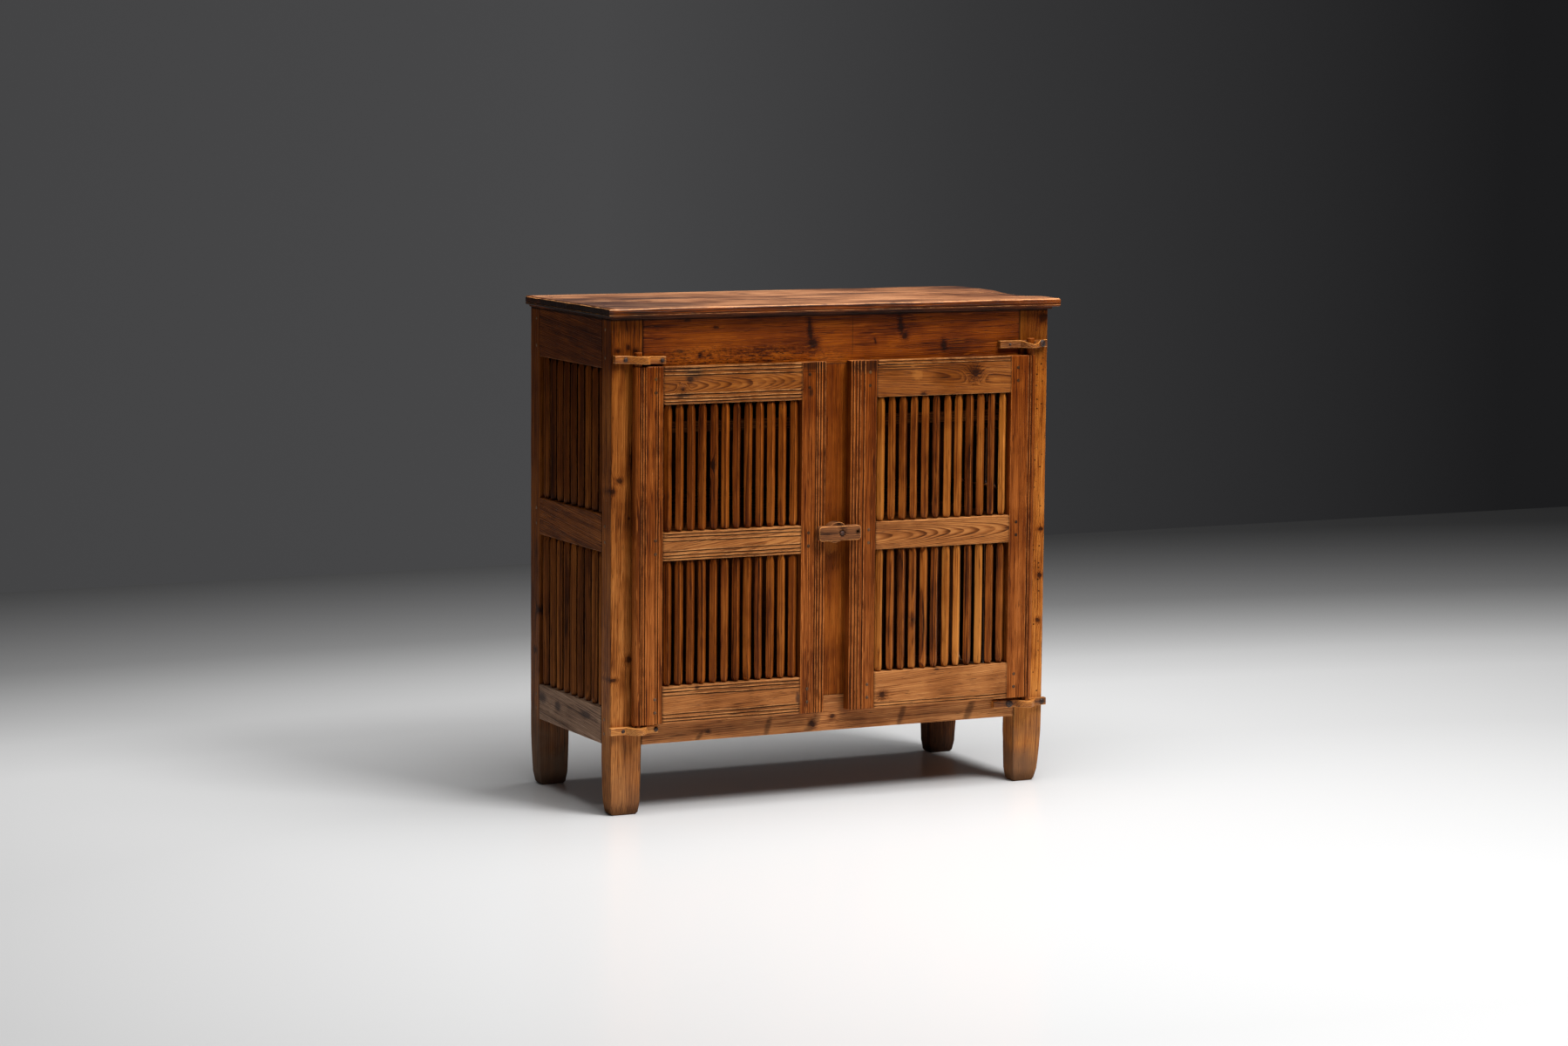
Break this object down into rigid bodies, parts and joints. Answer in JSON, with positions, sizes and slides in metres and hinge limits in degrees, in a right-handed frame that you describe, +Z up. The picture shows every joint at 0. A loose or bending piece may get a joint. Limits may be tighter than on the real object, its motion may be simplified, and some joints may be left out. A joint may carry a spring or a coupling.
{
  "type": "cabinet",
  "caption": "Low free-standing pine cupboard with barred sides, a pair of barred doors on wooden pintles, a wooden turn button, shelves and a plank back and top.",
  "frame": {"origin": "on the floor under the middle of the whole cabinet, button and top overhang included", "axes": "+Z up; the doors face -Y, +Y is the back; +X is the right-hand side seen from the front"},
  "size_m": [1.028, 0.454, 1.023],
  "materials": {
    "frame_pine": "old waxed pine, red-brown",
    "post_pine": "old waxed pine, golden",
    "top_pine": "worn pine with dark stains",
    "door_pine": "old waxed pine, red-brown",
    "bar_pine": "whittled pine, mixed tones",
    "inside_pine": "dry unwaxed pine",
    "ear_pine": "newer golden pine",
    "button_wood": "hand-worn wood",
    "peg_wood": "dark end grain",
    "iron": "rusted wrought nail"
  },
  "bodies": {
    "carcass": {"front_left_post": "post_pine", "front_right_post": "post_pine", "back_left_post": "post_pine", "back_right_post": "post_pine", "front_top_rail": "frame_pine", "front_bottom_rail": "frame_pine", "front_muntin": "frame_pine", "left_side_top_rail": "frame_pine", "left_side_middle_rail": "frame_pine", "left_side_bottom_rail": "frame_pine", "left_side_upper_bars": "bar_pine", "left_side_lower_bars": "bar_pine", "left_side_pegs": "peg_wood", "right_side_top_rail": "frame_pine", "right_side_middle_rail": "frame_pine", "right_side_bottom_rail": "frame_pine", "right_side_upper_bars": "bar_pine", "right_side_lower_bars": "bar_pine", "right_side_pegs": "peg_wood", "back_top_rail": "inside_pine", "back_middle_rail": "inside_pine", "back_bottom_rail": "inside_pine", "back_boards": "inside_pine", "back_nails": "iron", "top_front_board": "top_pine", "top_back_board": "top_pine", "top_nails": "iron", "floor_board": "inside_pine", "floor_cleats": "inside_pine", "upper_shelf": "inside_pine", "lower_shelf": "inside_pine", "upper_shelf_cleats": "inside_pine", "lower_shelf_cleats": "inside_pine", "cleat_nails": "iron", "left_top_ear": "ear_pine", "left_bottom_ear": "ear_pine", "right_top_ear": "ear_pine", "right_bottom_ear": "ear_pine", "ear_nails": "iron", "button_disc": "button_wood", "button_nail": "iron"},
    "left_door": {"left_door_hinge_stile": "door_pine", "left_door_lock_stile": "door_pine", "left_door_top_rail": "door_pine", "left_door_middle_rail": "door_pine", "left_door_bottom_rail": "door_pine", "left_door_upper_bars": "bar_pine", "left_door_lower_bars": "bar_pine", "left_door_pegs": "peg_wood"},
    "right_door": {"right_door_hinge_stile": "door_pine", "right_door_lock_stile": "door_pine", "right_door_top_rail": "door_pine", "right_door_middle_rail": "door_pine", "right_door_bottom_rail": "door_pine", "right_door_upper_bars": "bar_pine", "right_door_lower_bars": "bar_pine", "right_door_pegs": "peg_wood"},
    "turn_button": {"turn_button": "button_wood"}
  },
  "joints": [
    {"name": "left_door_hinge", "type": "hinge", "parent": "carcass", "child": "left_door", "pos_m": [-0.4455, -0.1976, 0.185], "axis": [0, 0, -1], "range_deg": [0, 170]},
    {"name": "right_door_hinge", "type": "hinge", "parent": "carcass", "child": "right_door", "pos_m": [0.451, -0.1976, 0.185], "axis": [0, 0, 1], "range_deg": [0, 170]},
    {"name": "button_turn", "type": "hinge", "parent": "carcass", "child": "turn_button", "pos_m": [0, -0.21, 0.555], "axis": [0, -1, 0], "continuous": true}
  ]
}
